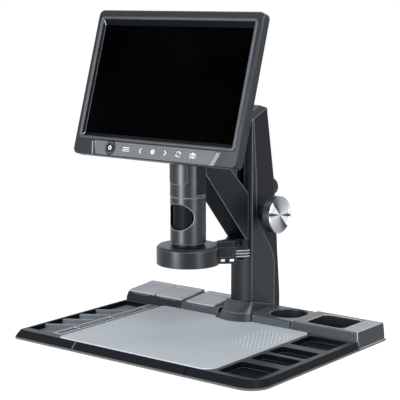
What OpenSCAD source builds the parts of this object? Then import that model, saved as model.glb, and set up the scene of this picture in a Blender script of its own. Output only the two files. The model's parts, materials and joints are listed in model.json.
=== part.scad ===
// LCD digital microscope: tray base with work mat and lidded storage, focusing column,
// camera head with ring light, and a tilting screen.
// Millimetres. +X to the user's right, +Y to the back, +Z up.
// The origin is at the centre of the footprint, on the table.

/* [Base] */
// Overall width of the base
base_w = 366; // [340:1:400]
// Depth of the base trays and storage boxes
base_d = 270; // [255:1:290]
// Width of each side module
side_w = 98; // [94:1:106]
// Height of the work deck above the table
deck_z = 11.3; // [10.5:0.1:14]
// Height of the rubber feet
foot_h = 1; // [0.6:0.1:2]
// Thickness of the bottom covers
cover_t = 2.2; // [1.6:0.1:2.6]
// Depth of the sloping front lip
lip_run = 8; // [6:0.5:10]
// Inward lean of the outer side walls
side_run = 4; // [3:0.5:5]
// Radius of the front right corner
front_corner_r = 25; // [18:1:28]
// Wall thickness of the moulded trays
tray_wall = 2.2; // [1.6:0.1:2.6]

/* [Left tray] */
// Width of the screw trough
trough_w = 36.5; // [30:0.5:38]
// Number of slanted dividers in the trough
divider_count = 4; // [3:1:5]
// Slant of the dividers, in degrees
divider_slant = 32; // [20:1:38]
// Spacing of the dividers along the trough
divider_pitch = 31; // [26:0.5:32]
// Length of one slot of the bit rack
slot_l = 9.5; // [7:0.5:10]
// Width of one slot of the bit rack
slot_w = 3.9; // [3:0.1:3.9]
// Spacing of the slots
slot_pitch = 6.2; // [5.8:0.1:6.3]

/* [Right tray] */
// Width of the part pockets
pocket_w = 53; // [45:1:56]
// Corner radius of the part pockets
pocket_r = 5; // [3:0.5:8]

/* [Storage] */
// Depth of the storage boxes
storage_d = 63; // [60:1:70]
// Height of the left box
left_box_top = 22; // [20:0.5:26]
// Height of the centre box
centre_box_top = 21.3; // [19:0.1:23]
// Height of the right box
right_box_top = 22.8; // [20:0.1:27]
// Backward lean of the fronts of the storage boxes
box_lean = 2.5; // [1:0.5:3]
// Thickness of the lids at the front
lid_t = 2; // [1.6:0.1:2.6]
// Rise of the lids from front to back
lid_rise = 3; // [2:0.5:4]
// Width of each lid
lid_w = 45; // [38:0.5:45.5]
// Radius of the lid hinge pins
lid_pin_r = 0.9; // [0.7:0.1:1.2]
// Radius of the round cup
cup_r = 23.5; // [18:0.5:24]
// Width of the deep pocket
deep_pocket_w = 55; // [45:1:60]

/* [Work mat] */
// Width of the mat
mat_w = 228; // [200:1:232]
// Thickness of the mat
mat_t = 1.5; // [1:0.1:2.5]
// Radius of the mat's front right corner
mat_front_r = 16; // [8:1:24]

/* [Column] */
// Width of the column
column_w = 33; // [32:0.5:38]
// Height of the column above the table, without its cap
column_h = 276; // [270:1:300]
// Depth of the column at its foot
column_foot_d = 68; // [66:0.5:74]
// Depth of the column at its top
column_top_d = 35; // [33:0.5:42]
// Thickness of the column shells
shell_t = 2.4; // [1.8:0.1:2.6]
// Radius of the steel guide rails
rail_r = 2.5; // [2:0.1:2.8]

/* [Focus drive] */
// Height of the focus shaft above the table
shaft_z = 144.5; // [138:0.5:150]
// Tooth size of rack and pinion
gear_module = 1; // [0.9:0.05:1.1]
// Teeth on the pinion
pinion_teeth = 12; // [10:1:14]
// Radius of the focus shaft
shaft_r = 3; // [2.5:0.1:3.2]
// Diameter of the focus knobs
knob_d = 46.6; // [36:0.5:52]
// Thickness of the focus knobs
knob_t = 12.5; // [9:0.5:15]
// Free travel of the carriage below its rest height
travel_down = 20; // [10:1:20]
// Free travel of the carriage above its rest height
travel_up = 84; // [60:1:86]
// Diameter of the rear lock knob
lock_d = 23.5; // [16:0.5:25]

/* [Head] */
// Distance from the column front to the optical axis
reach = 103; // [98:1:112]
// Diameter of the camera head
head_d = 43; // [40:0.5:45]
// Height of the top of the head
head_top = 252; // [246:1:256]
// Height of the seam between head and sleeve
head_seam = 180.6; // [178:0.2:184]
// Height of the lower end of the sleeve
sleeve_z = 125; // [124:0.2:128]
// Width of the arm
arm_w = 28; // [22:0.5:30]
// Knurls on the focus ring
knurl_count = 48; // [36:1:60]

/* [Ring light] */
// Diameter of the ring light
ring_d = 76.3; // [70:0.1:84]
// Height of the underside of the ring light
ring_z = 99; // [97:0.5:103]
// Height of the ring light housing
ring_h = 23; // [20:0.5:24]
// Number of lamps on the lamp board
lamp_count = 24; // [16:1:30]
// Length of the light control box
control_l = 22.5; // [18:0.5:24]

/* [Screen] */
// Width of the screen housing
screen_w = 244; // [236:1:256]
// Height of the housing above the display centre
screen_above = 84; // [80:0.5:92]
// Height of the housing below the display centre
screen_below = 92.3; // [90:0.5:98]
// Depth of the housing's straight side
screen_side = 11; // [9.5:0.5:14]
// Depth of the bulge on the back
screen_bulge = 8; // [6:0.5:10]
// Width of the visible display
display_w = 219; // [210:1:222]
// Height of the visible display
display_h = 131; // [124:1:133]
// Backward lean of the screen, in degrees
screen_tilt = 17.4; // [12:0.2:22]
// Height of the display centre above the table
screen_z = 318.2; // [312:0.5:330]
// Distance from the optical axis forward to the display centre
screen_ahead = 41.5; // [38:0.5:50]
// Radius of the power key
power_r = 5.6; // [4:0.1:6.2]

/* [Hidden] */
$fn = 64;

// General clearances
fit = 0.3;           // gap between neighbouring mouldings
running = 0.05;      // radial clearance of a shaft or rail in its bore
over = 1;            // how far a cutting shape runs past a face
skin = 0.4;          // thickness of the plates that a lofted shape is drawn between

// Base positions
column_inset = 11;                          // from the front of the boxes to the column
column_back = column_inset + column_foot_d - storage_d;   // column behind the trays
front_y = -(base_d + column_back) / 2;
rear_y = front_y + base_d;
left_x = -base_w / 2;
right_x = base_w / 2;
left_seam = left_x + side_w;
right_seam = right_x - side_w;
storage_y = rear_y - storage_d;
tray_z = foot_h + cover_t;
deck_t = 2;
floor_z = tray_z + 1;                       // floor of the troughs and pockets
small_r = 6;
seam_r = 0.8;
rim_front = 19;                             // from the front edge back to the first recess
box_corner_r = 5;                           // outer front corners of the boxes

// Screws of the bottom covers
screw_r = 1.2;
screw_head_r = 2.4;
screw_top = tray_z + 4.5;
left_screws = screw_places(left_x + 8, left_seam);
centre_screws = screw_places(left_seam, right_seam);
right_screws = screw_places(right_seam, right_x - 22);

// Two front and two rear screw places of one module, as [x, y]
function screw_places(x0, x1) = [
    [x0 + 10, front_y + 10], [x1 - 10, front_y + 10],
    [x0 + 10, rear_y - 3.4], [x1 - 10, rear_y - 3.4]
];

// Left tray
trough_x0 = left_x + side_run + 3;
trough_x1 = trough_x0 + trough_w;
trough_y0 = front_y + rim_front;
trough_y1 = storage_y - 5;
rack_margin = 3;
rack_x0 = trough_x1 + tray_wall + 1.8;
rack_x1 = rack_x0 + slot_l + 2 * rack_margin;
rack_y0 = front_y + rim_front;
rack_y1 = storage_y - 4;
rack_t = 6.4;
slot_groups = [5, 10, 10, 3];
slot_gap = 2;                               // extra space between two groups

// Right tray: depths of the pockets and of the webs behind them, front to back
pocket_ds = [48, 28, 30, 48];
pocket_webs = [13, 7, 14];
pocket_x1 = right_x - side_run - 7;
pocket_x0 = pocket_x1 - pocket_w;
pocket_y0 = front_y + 15;

// Storage boxes and lids
lid_axis_y = rear_y - 10;
lid_axis_drop = 1.3;                        // hinge axis below the top of the box
knuckle_r = 2.2;
well_front = knuckle_r + 0.4;
lid_rear_t = lid_t + lid_rise + 0.8;        // a raised strip runs along the back of a lid
well_back = lid_axis_drop + lid_rear_t + 0.5;
lid_front_y = storage_y + box_lean + 0.4;
grip_w = 26;                                // finger recess under the front of a lid
grip_d = 1.6;
lid_margin = 3.5;                           // how far a lid overlaps its bin
lid_1_x = left_x + side_run + 0.4;
lid_2_x = lid_1_x + lid_w + 1.5;
lid_3_x = left_seam + 4.7;
pin_grip = 1.1;                             // how far a pin runs past its lid, each side
bin_floor = tray_z + tray_wall;
cup_x = right_seam - 26;
cup_y = storage_y + 36;
deep_pocket_x0 = right_seam + 16.5;
deep_pocket_y0 = storage_y + 6.5;
deep_pocket_y1 = rear_y - 7.5;
inlay_t = 0.7;
inlay_x0 = deep_pocket_x0 + deep_pocket_w + 1.8;
inlay_x1 = right_x - side_run - 1.4;

// Work mat
mat_x0 = rack_x1 + 6.5;
mat_x1 = mat_x0 + mat_w;
mat_y0 = front_y + lip_run + 0.6;
mat_y1 = storage_y - 1.5;

// Column
column_y = storage_y + column_inset;
half_w = column_w / 2;
seat_z = tray_z + 4.8;
foot_top = deck_z + 22.5;
foot_half = 26.5;                           // of the flared foot, at the deck
foot_front = 24.2;                          // from the column forward to the toe of the foot
column_bow_r = 32;                          // radius of the bowed front face
bend_z = 185;                               // where the back of the column changes slope
bend_d = 51;
rail_x = half_w - shell_t - 5;
rail_y = column_y + 11;
top_fall = 15;                              // drop of the column top from its back to its front
cap_t = 7.6;
split_foot = 54;                            // seam between the shells, behind the column front
split_knob = 14;
split_top = 6.5;
sweep_z0 = 74;
sweep_z1 = 152;
shell_seam = 0.4;
column_screw_r = 1.5;
column_screw_zs = [60, 232];

// Focus drive
carriage_y0 = column_y + 6.6;
carriage_y1 = column_y + 15.4;
pitch_r = gear_module * pinion_teeth / 2;
rack_back = carriage_y1 + 2.75;             // root line of the rack teeth
shaft_y = rack_back + 1.25 * gear_module + pitch_r;
arm_back = column_y - 0.4;
arm_foot_z = 115;
arm_head_z = 171;
neck_w = 11.2;
neck_z0 = 107;
neck_z1 = 165;
slot_clear = 0.5;
bush_r = shaft_r + 2;
knob_x = half_w + 15.8;
left_knob_x = half_w + 2.8;                  // the left knob sits close to the column
lock_z = 172;
lock_stem_r = 3;
link_z0 = 91;
link_d = 15;

// Head
axis_y = column_y - reach;
head_r = head_d / 2;
sleeve_r = head_r - 0.2;
window_z0 = sleeve_z + 17;
window_z1 = head_seam - 7.6;
window_half = 18;
lens_r = 12;
neck_r = head_r - 2.1;
neck_low = 113;
sleeve_t = 2.6;
lens_t = 3;
lens_seat_r = 10.5;
ring_r = ring_d / 2;
ring_top = ring_z + ring_h;
ring_bore = neck_r;
channel_r0 = neck_r + 2.2;                  // channel for the lamps, under the ring
channel_r1 = ring_r - 2;
channel_h = 10;
light_arm_z0 = neck_z0;
control_w = 20;
control_h = 20;
control_x0 = ring_r - 4.4;
control_z0 = ring_z;
key_l = 5;
key_h = 2.6;
key_z = control_z0 + 4.4;
key_travel = 0.8;
key_xs = [key_l / 2 + 3.9, control_l - 5.2];

// Screen, in its own frame: x right, y into the housing, z up the display
screen_y = axis_y - screen_ahead;
face_t = 4.5;
bead_w = 3.9;                               // width and height of the bead around the opening
bead_h = 1.5;
open_x = display_w / 2 + 2.7;               // opening of the housing, inside the bead
open_top = display_h / 2 + 7;
open_bottom = -display_h / 2 - 4.6;
lcd_edge = 0.6;                             // the display module is this much smaller
lcd_y = 3;
panel_top = open_bottom - bead_w - 0.6;
panel_half_top = 91;
panel_half_bottom = 84;
panel_t = 2;
power_x = -63;
power_z = -82.3;
hinge_back = 30;                            // hinge axis behind the face
hinge_drop = 40;                            // hinge axis below the display centre
hinge_y = screen_y + hinge_back * cos(screen_tilt) - hinge_drop * sin(screen_tilt);
hinge_z = screen_z - hinge_back * sin(screen_tilt) - hinge_drop * cos(screen_tilt);
hinge_pin_r = 3;
hinge_knuckle_r = 6;
hinge_half = 7.5;
ear_t = 6;
screen_screw_r = 1.6;
screen_screw_xs = [-screen_w / 2 + 34, screen_w / 2 - 34];
screen_screw_zs = [-screen_below + 34, screen_above - 34];

// ---------- shared shapes ----------

// Rectangle with rounded corners, given by its edges
module panel(x0, x1, y0, y1, r) {
    translate([x0 + r, y0])
        square([x1 - x0 - 2 * r, y1 - y0]);
    translate([x0, y0 + r])
        square([x1 - x0, y1 - y0 - 2 * r]);
    for (x = [x0 + r, x1 - r], y = [y0 + r, y1 - r])
        translate([x, y])
            circle(r);
}

module slab(x0, x1, y0, y1, z0, z1, r) {
    translate([0, 0, z0])
        linear_extrude(z1 - z0)
            panel(x0, x1, y0, y1, r);
}

module block(x0, x1, y0, y1, z0, z1) {
    translate([x0, y0, z0])
        cube([x1 - x0, y1 - y0, z1 - z0]);
}

module rod_x(x0, x1, y, z, r) {
    translate([x0, y, z])
        rotate([0, 90, 0])
            cylinder(h = x1 - x0, r = r);
}

module rod_y(y0, y1, x, z, r) {
    translate([x, y0, z])
        rotate([-90, 0, 0])
            cylinder(h = y1 - y0, r = r);
}

module rod_z(z0, z1, x, y, r) {
    translate([x, y, z0])
        cylinder(h = z1 - z0, r = r);
}

// A side profile drawn as (y, z), carried across in x
module across(x0, x1) {
    translate([x0, 0, 0])
        rotate([90, 0, 90])
            linear_extrude(x1 - x0)
                children();
}

// A front profile drawn as (x, z), carried back in y
module along(y0, y1) {
    translate([0, y1, 0])
        rotate([90, 0, 0])
            linear_extrude(y1 - y0)
                children();
}

module about_axis() {
    translate([0, axis_y, 0])
        children();
}

module on_screen() {
    translate([0, screen_y, screen_z])
        rotate([-screen_tilt, 0, 0])
            children();
}

module tube(r1, r0, z0, z1) {
    difference() {
        rod_z(z0, z1, 0, 0, r1);
        rod_z(z0 - over, z1 + over, 0, 0, r0);
    }
}

// ---------- base trays ----------

// Plan of a module: square at the back, front corners rounded by r0 and r1
module module_plan(x0, x1, y0, y1, r0, r1) {
    translate([x0 + r0, y0])
        square([x1 - r1 - x0 - r0, y1 - y0]);
    translate([x0, y0 + r0])
        square([x1 - r1 - x0, y1 - y0 - r0]);
    translate([x0 + r0, y0 + r1])
        square([x1 - x0 - r0, y1 - y0 - r1]);
    translate([x0 + r0, y0 + r0])
        circle(r0, $fn = 48);
    translate([x1 - r1, y0 + r1])
        circle(r1, $fn = 48);
}

// A tray whose front slopes by lip_run and whose sides lean in by run0 and run1
module tray_body(x0, x1, run0, run1, r0, r1) {
    hull() {
        translate([0, 0, tray_z])
            linear_extrude(skin)
                module_plan(x0, x1, front_y, storage_y - fit, r0, r1);
        translate([0, 0, deck_z - skin])
            linear_extrude(skin)
                module_plan(x0 + run0, x1 - run1, front_y + lip_run, storage_y - fit,
                    max(seam_r, r0 - run0), max(seam_r, r1 - run1));
    }
}

module underside(x0, x1) {
    block(x0 + tray_wall, x1 - tray_wall, front_y + rim_front + tray_wall,
        storage_y - fit - tray_wall, tray_z - over, deck_z - deck_t);
}

module screw_holes(places) {
    for (p = places)
        rod_z(foot_h - over, screw_top, p[0], p[1], screw_r);
}

module left_tray() {
    color("#2c3136")
        difference() {
            tray_body(left_x, left_seam - fit / 2, side_run, 0, small_r, seam_r);
            slab(trough_x0, trough_x1, trough_y0, trough_y1, floor_z, deck_z + over, 3);
            slab(rack_x0, rack_x1, rack_y0, rack_y1, deck_z - rack_t, deck_z + over, 2);
            underside(rack_x1, left_seam - fit / 2);
            screw_holes(left_screws);
        }
}

module tray_dividers() {
    rib_t = 2;
    rib_top = deck_z - 1;
    sheet_t = 0.8;
    mid_x = (trough_x0 + trough_x1) / 2;
    first_y = trough_y0 + 41.5;
    color("#8b8f96")
        intersection() {
            slab(trough_x0 + fit, trough_x1 - fit, trough_y0 + fit, trough_y1 - fit,
                floor_z, rib_top, 2.7);
            union() {
                block(trough_x0, trough_x1, trough_y0, trough_y1, floor_z, floor_z + sheet_t);
                for (i = [0 : divider_count - 1])
                    translate([mid_x, first_y + i * divider_pitch, floor_z])
                        rotate([0, 0, divider_slant])
                            translate([-trough_w, -rib_t / 2, 0])
                                cube([2 * trough_w, rib_t, deck_z]);
            }
        }
}

// Number of slots in front of group g
function slots_before(g) = g == 0 ? 0 : slots_before(g - 1) + slot_groups[g - 1];

module bit_rack() {
    first_slot = rack_y0 + 5;
    color("#9a9ea6")
        difference() {
            slab(rack_x0 + fit / 2, rack_x1 - fit / 2, rack_y0 + fit / 2, rack_y1 - fit / 2,
                deck_z - rack_t, deck_z + 0.2, 2);
            for (g = [0 : len(slot_groups) - 1], i = [0 : slot_groups[g] - 1])
                translate([rack_x0 + rack_margin,
                    first_slot + (slots_before(g) + i) * slot_pitch + g * slot_gap,
                    deck_z - rack_t + 1])
                    cube([slot_l, slot_w, rack_t + over]);
        }
}

module centre_plate() {
    color("#2c3136")
        difference() {
            tray_body(left_seam + fit / 2, right_seam - fit / 2, 0, 0, seam_r, seam_r);
            underside(left_seam + fit / 2, right_seam - fit / 2);
            screw_holes(centre_screws);
        }
}

function pocket_front(i) = i == 0 ? pocket_y0
    : pocket_front(i - 1) + pocket_ds[i - 1] + pocket_webs[i - 1];

module right_tray() {
    color("#2c3136")
        difference() {
            tray_body(right_seam + fit / 2, right_x, 0, side_run, seam_r, front_corner_r);
            for (i = [0 : len(pocket_ds) - 1])
                slab(pocket_x0, pocket_x1, pocket_front(i), pocket_front(i) + pocket_ds[i],
                    floor_z, deck_z + over, pocket_r);
            underside(right_seam + fit / 2, pocket_x0);
            screw_holes(right_screws);
        }
}

module bottom_cover(x0, x1, r0, r1, places) {
    color("#6f6d69")
        difference() {
            translate([0, 0, foot_h])
                linear_extrude(cover_t)
                    module_plan(x0, x1, front_y, rear_y, r0, r1);
            for (p = places) {
                rod_z(foot_h - over, tray_z + over, p[0], p[1], screw_r);
                rod_z(foot_h - over, foot_h + 1.2, p[0], p[1], screw_head_r);
            }
        }
}

module left_bottom_cover() {
    bottom_cover(left_x, left_seam - fit / 2, small_r, seam_r, left_screws);
}

module centre_bottom_cover() {
    bottom_cover(left_seam + fit / 2, right_seam - fit / 2, seam_r, seam_r, centre_screws);
}

module right_bottom_cover() {
    bottom_cover(right_seam + fit / 2, right_x, seam_r, front_corner_r, right_screws);
}

module rubber_feet() {
    foot_r = 8;
    color("#1b1b1b")
        for (x = [left_x + 24, left_seam - 22, right_seam + 22, right_x - 24],
            y = [front_y + 34, rear_y - 24])
            rod_z(0, foot_h, x, y, foot_r);
}

module cover_screws() {
    color("silver")
        for (p = concat(left_screws, centre_screws, right_screws)) {
            rod_z(foot_h + 0.2, foot_h + 1.2, p[0], p[1], screw_head_r - 0.1);
            rod_z(foot_h + 1.1, screw_top, p[0], p[1], screw_r);
        }
}

// ---------- storage boxes, lids and mat ----------

// Solid of a storage box: its outer sides lean in by run0 and run1, its front by box_lean
module storage_body(x0, x1, top, run0, run1, r0, r1) {
    edge = 0.9;
    intersection() {
        translate([0, 0, tray_z])
            linear_extrude(top - tray_z)
                intersection() {
                    module_plan(x0, x1, storage_y, rear_y, r0, r1);
                    translate([0, storage_y + rear_y])
                        mirror([0, 1])
                            module_plan(x0, x1, storage_y, rear_y, r0, r1);
                }
        along(storage_y - over, rear_y + over)
            polygon([[x0, tray_z], [x1, tray_z], [x1 - run1, top], [x0 + run0, top]]);
        across(x0, x1)
            polygon([
                [storage_y, tray_z], [storage_y, deck_z], [storage_y + box_lean, top - edge],
                [storage_y + box_lean + edge, top], [rear_y - edge, top], [rear_y, top - edge],
                [rear_y, tray_z]
            ]);
    }
}

// Bin, hinge well and pin holes below a lid whose left edge is at x
module lid_seat(x, top) {
    slab(x + lid_margin, x + lid_w - lid_margin, lid_front_y + lid_margin,
        lid_axis_y - well_front - 2, bin_floor, top + over, 3);
    block(x - fit, x + lid_w + fit, lid_axis_y - well_front, lid_axis_y + well_back,
        top - lid_axis_drop - knuckle_r - 0.4, top + over);
    rod_x(x - pin_grip, x + lid_w + pin_grip, lid_axis_y, top - lid_axis_drop, lid_pin_r);
    slab(x + (lid_w - grip_w) / 2, x + (lid_w + grip_w) / 2, storage_y - 2 * over,
        lid_front_y + 1.2, top - grip_d, top + over, 0.8);
}

module left_storage_box() {
    color("#30353a")
        difference() {
            storage_body(left_x, left_seam - fit / 2, left_box_top, side_run, 0,
                box_corner_r, seam_r);
            lid_seat(lid_1_x, left_box_top);
            lid_seat(lid_2_x, left_box_top);
            screw_holes(left_screws);
        }
}

module centre_storage_box() {
    color("#30353a")
        difference() {
            storage_body(left_seam + fit / 2, right_seam - fit / 2, centre_box_top, 0, 0,
                seam_r, seam_r);
            lid_seat(lid_3_x, centre_box_top);
            rod_z(bin_floor, centre_box_top + over, cup_x, cup_y, cup_r);
            translate([cup_x, cup_y, centre_box_top - 1])
                cylinder(h = 2, r1 = cup_r, r2 = cup_r + 2);
            block(-half_w - fit, half_w + fit, column_y - over, rear_y + over,
                seat_z, centre_box_top + over);
            block(-foot_half - 0.4, foot_half + 0.4, storage_y - over, column_y + over,
                deck_z, centre_box_top + over);
            screw_holes(centre_screws);
        }
}

module right_storage_box() {
    color("#30353a")
        difference() {
            storage_body(right_seam + fit / 2, right_x, right_box_top, 0, side_run,
                seam_r, box_corner_r);
            slab(deep_pocket_x0, deep_pocket_x0 + deep_pocket_w, deep_pocket_y0, deep_pocket_y1,
                bin_floor, right_box_top + over, 9);
            screw_holes(right_screws);
            slab(inlay_x0 - 0.1, inlay_x1 + 0.1, storage_y + box_lean + 2.9, rear_y - 2.9,
                right_box_top - inlay_t, right_box_top + over, 3.1);
        }
}

// Pale plate let into the right box beside the deep pocket
module box_inlay() {
    color("#a4a9ad")
        slab(inlay_x0, inlay_x1, storage_y + box_lean + 3, rear_y - 3,
            right_box_top - inlay_t, right_box_top + 0.2, 3);
}

// A lid: a hollow wedge with a raised strip along its back and a hinge knuckle below
module storage_lid(x, top) {
    axis_z = top - lid_axis_drop;
    plate_z = top + 0.1;
    strip_y = lid_axis_y - 9;
    shell = 1.5;
    color("#9b9fa4")
        difference() {
            union() {
                intersection() {
                    slab(x, x + lid_w, lid_front_y, lid_axis_y, plate_z, plate_z + lid_rear_t, 2.5);
                    across(x, x + lid_w)
                        polygon([
                            [lid_front_y, plate_z], [lid_front_y, plate_z + lid_t - 0.7],
                            [lid_front_y + 0.7, plate_z + lid_t],
                            [strip_y, plate_z + lid_t + lid_rise],
                            [strip_y + 0.6, plate_z + lid_rear_t], [lid_axis_y, plate_z + lid_rear_t],
                            [lid_axis_y, plate_z]
                        ]);
                }
                block(x + 4, x + lid_w - 4, lid_axis_y - knuckle_r, lid_axis_y,
                    axis_z, plate_z + lid_t);
                rod_x(x + 4, x + lid_w - 4, lid_axis_y, axis_z, knuckle_r);
            }
            across(x + shell, x + lid_w - shell)
                polygon([
                    [lid_front_y + 6, plate_z - over], [lid_front_y + 6, plate_z + lid_t - shell],
                    [strip_y - over, plate_z + lid_t + lid_rise - shell],
                    [strip_y - over, plate_z - over]
                ]);
            rod_x(x, x + lid_w, lid_axis_y, axis_z, lid_pin_r + running);
        }
}

module storage_lid_1() {
    storage_lid(lid_1_x, left_box_top);
}

module storage_lid_2() {
    storage_lid(lid_2_x, left_box_top);
}

module storage_lid_3() {
    storage_lid(lid_3_x, centre_box_top);
}

module lid_hinge_pins() {
    color("silver")
        for (h = [[lid_1_x, left_box_top], [lid_2_x, left_box_top], [lid_3_x, centre_box_top]])
            rod_x(h[0] - pin_grip, h[0] + lid_w + pin_grip, lid_axis_y,
                h[1] - lid_axis_drop, lid_pin_r);
}

// Plan of the column foot at one level: a bowed front with a facet at each side.
// The distances are measured forward from the front of the column.
module foot_plan(half, apex, shoulder, side) {
    facet = 4;
    steps = 8;
    polygon(concat(
        [for (i = [-steps : steps]) [(half - facet) * i / steps,
            column_y - apex + (apex - shoulder) * i * i / (steps * steps)]],
        [[half, column_y - side], [half, column_y], [-half, column_y], [-half, column_y - side]]
    ));
}

module work_mat() {
    color("#aab0b4")
        translate([0, 0, deck_z])
            linear_extrude(mat_t)
                difference() {
                    union() {
                        module_plan(mat_x0, mat_x1, mat_y0, mat_y1 - 6, 4, mat_front_r);
                        panel(mat_x0, mat_x1, mat_y1 - 20, mat_y1, 6);
                    }
                    foot_plan(foot_half + 1, foot_front + 1, foot_front - 6, foot_front - 9.7);
                }
}

// ---------- column ----------

// The bowed front on a deep body: the circle only shapes the front
module column_section(inset) {
    intersection() {
        union() {
            translate([0, column_y + column_bow_r])
                circle(column_bow_r - inset, $fn = 128);
            translate([-half_w, column_y + column_bow_r])
                square([column_w, column_foot_d]);
        }
        panel(-half_w + inset, half_w - inset, column_y + inset,
            column_y + column_foot_d - inset, 3.5);
    }
}

// Height of the sloping column top at depth y
function column_top(y) = column_h - top_fall * (column_y + column_top_d - y) / column_top_d;

// Side outline of the whole column, as (y, z)
module column_side(inset) {
    polygon([
        [column_y - over, seat_z + inset],
        [column_y - over, column_top(column_y - over) - inset],
        [column_y + column_top_d - inset, column_h - inset],
        [column_y + bend_d - inset, bend_z],
        [column_y + column_foot_d - inset, seat_z + inset]
    ]);
}

// Distance from the column front to the seam between its shells, at height z
function seam_depth(z) =
    z < sweep_z0 ? split_foot
    : z < sweep_z1 ? split_knob + (split_foot - split_knob)
        * (1 + cos(180 * (z - sweep_z0) / (sweep_z1 - sweep_z0))) / 2
    : z < bend_z ? split_knob
    : split_knob + (split_top - split_knob) * (z - bend_z) / (column_h - bend_z);

// Region in front of the seam between the shells, moved back by gap
module front_region(gap) {
    heights = [seat_z - over, for (i = [0 : 10]) sweep_z0 + i * (sweep_z1 - sweep_z0) / 10,
        bend_z, column_h + over];
    polygon(concat(
        [[column_y - 2 * over, column_h + over], [column_y - 2 * over, seat_z - over]],
        [for (z = heights) [column_y + seam_depth(z) + gap, z]]
    ));
}

module column_solid(inset) {
    intersection() {
        translate([0, 0, seat_z])
            linear_extrude(column_h - seat_z)
                column_section(inset);
        across(-half_w - over, half_w + over)
            column_side(inset);
    }
}

// Slot that the carriage neck travels in
module neck_slot() {
    block(-neck_w / 2 - slot_clear, neck_w / 2 + slot_clear, column_y - over, column_y + 6,
        neck_z0 - travel_down - slot_clear, neck_z1 + travel_up + slot_clear);
}

module column_front_shell() {
    color("#3a3d41")
        difference() {
            intersection() {
                column_solid(0);
                across(-half_w - over, half_w + over)
                    front_region(0);
            }
            column_solid(shell_t);
            neck_slot();
        }
}

module column_rear_shell() {
    color("#303337")
        difference() {
            column_solid(0);
            across(-half_w - 2 * over, half_w + 2 * over)
                front_region(shell_seam);
            column_solid(shell_t);
            rod_x(-half_w - over, half_w + over, shaft_y, shaft_z, bush_r);
            rod_y(column_y + 30, column_y + column_foot_d, 0, lock_z, lock_stem_r + running);
            for (z = column_screw_zs)
                rod_y(column_y + 30, column_y + column_foot_d, 0, z, column_screw_r);
        }
}

// Depth of the column behind its front, at height z
function column_depth(z) = z < bend_z
    ? column_foot_d + (bend_d - column_foot_d) * (z - seat_z) / (bend_z - seat_z)
    : bend_d + (column_top_d - bend_d) * (z - bend_z) / (column_h - bend_z);

module column_screws() {
    color("silver")
        for (z = column_screw_zs)
            rod_y(column_y + column_depth(z) - shell_t - 4, column_y + column_depth(z) - 0.6,
                0, z, column_screw_r);
}

// Sloping cap with a bevel along each side
module column_cap() {
    bevel = 4.5;
    pitch = atan(top_fall / column_top_d);
    run = column_top_d / cos(pitch);
    color("#8a8d90")
        intersection() {
            translate([0, column_y, column_top(column_y)])
                rotate([pitch, 0, 0])
                    intersection() {
                        along(-cap_t, run)
                            polygon([
                                [-half_w, 0], [half_w, 0], [half_w, 1.4], [half_w - bevel, cap_t],
                                [bevel - half_w, cap_t], [-half_w, 1.4]
                            ]);
                        across(-half_w, half_w)
                            polygon([
                                [-cap_t, 0], [-cap_t, cap_t], [run - 7.5, cap_t], [run - 0.4, 0.8],
                                [run - 0.4, 0]
                            ]);
                    }
            translate([0, 0, column_top(column_y) - over])
                linear_extrude(column_h)
                    column_section(0);
        }
}

// Levels of the flared foot: height, half width and the three distances of foot_plan
function foot_levels() = [
    [deck_z, foot_half, foot_front, foot_front - 7, foot_front - 10.7],
    [deck_z + 9.5, foot_half - 4.6, foot_front - 9, foot_front - 14.5, foot_front - 17.8],
    [foot_top, foot_half - 6.7, 2.2, 1.2, -0.5]
];

// Flared foot that closes the column onto the work deck, with a collar along its sides
module column_foot() {
    levels = foot_levels();
    collar_half = foot_half - 6.7;
    collar_end = rear_y - 2;
    color("#33373c")
        difference() {
            union() {
                for (i = [0, 1])
                    hull()
                        for (k = [0, 1])
                            foot_slice(levels[i + k], k == 0 ? 0 : -skin);
                across(-collar_half, collar_half)
                    polygon([
                        [column_y - 1, centre_box_top], [column_y - 1, foot_top],
                        [column_y + 3, foot_top], [collar_end, centre_box_top + 1.2],
                        [collar_end, centre_box_top]
                    ]);
            }
            block(-half_w, half_w, column_y, column_y + column_foot_d, deck_z - over,
                foot_top + over);
        }
}

module foot_slice(level, shift) {
    translate([0, 0, level[0] + shift])
        linear_extrude(skin)
            foot_plan(level[1], level[2], level[3], level[4]);
}

// Square steel tube that carries the rails, behind the gear train
module column_post() {
    post_y0 = shaft_y + pitch_r + gear_module + 2;
    post_y1 = post_y0 + 10;
    color("#9aa0a6")
        difference() {
            block(-9, 9, post_y0, post_y1, seat_z + shell_t, lock_z + 8);
            block(-7.5, 7.5, post_y0 + 1.5, post_y1 - 1.5, seat_z, bend_z);
        }
}

module guide_rails() {
    color("#c9cdd1")
        for (x = [-rail_x, rail_x])
            rod_z(seat_z + shell_t, column_top(rail_y) - shell_t - 2, x, rail_y, rail_r);
}

// ---------- focus drive ----------

module shaft_bushes() {
    color("#b08d4a")
        for (side = [0, 1])
            mirror([side, 0, 0])
                difference() {
                    union() {
                        rod_x(half_w - shell_t - 1, half_w, shaft_y, shaft_z, bush_r);
                        rod_x(half_w, half_w + 1.5, shaft_y, shaft_z, bush_r + 1.5);
                    }
                    rod_x(half_w - 5 * over, half_w + 5 * over, shaft_y, shaft_z,
                        shaft_r + running);
                }
}

// One tooth flank table for the rack: its outline repeats once a pitch
module rack_teeth(y_root, z0, count) {
    pitch = PI * gear_module;
    tip = gear_module * 2.05;
    wide = pitch / 2 + 0.45 * gear_module;
    narrow = pitch / 2 - 0.85 * gear_module;
    for (i = [0 : count - 1])
        translate([0, z0 + i * pitch])
            polygon([
                [y_root - 0.2, -wide / 2], [y_root, -wide / 2],
                [y_root + tip, -narrow / 2], [y_root + tip, narrow / 2],
                [y_root, wide / 2], [y_root - 0.2, wide / 2]
            ]);
}

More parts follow.
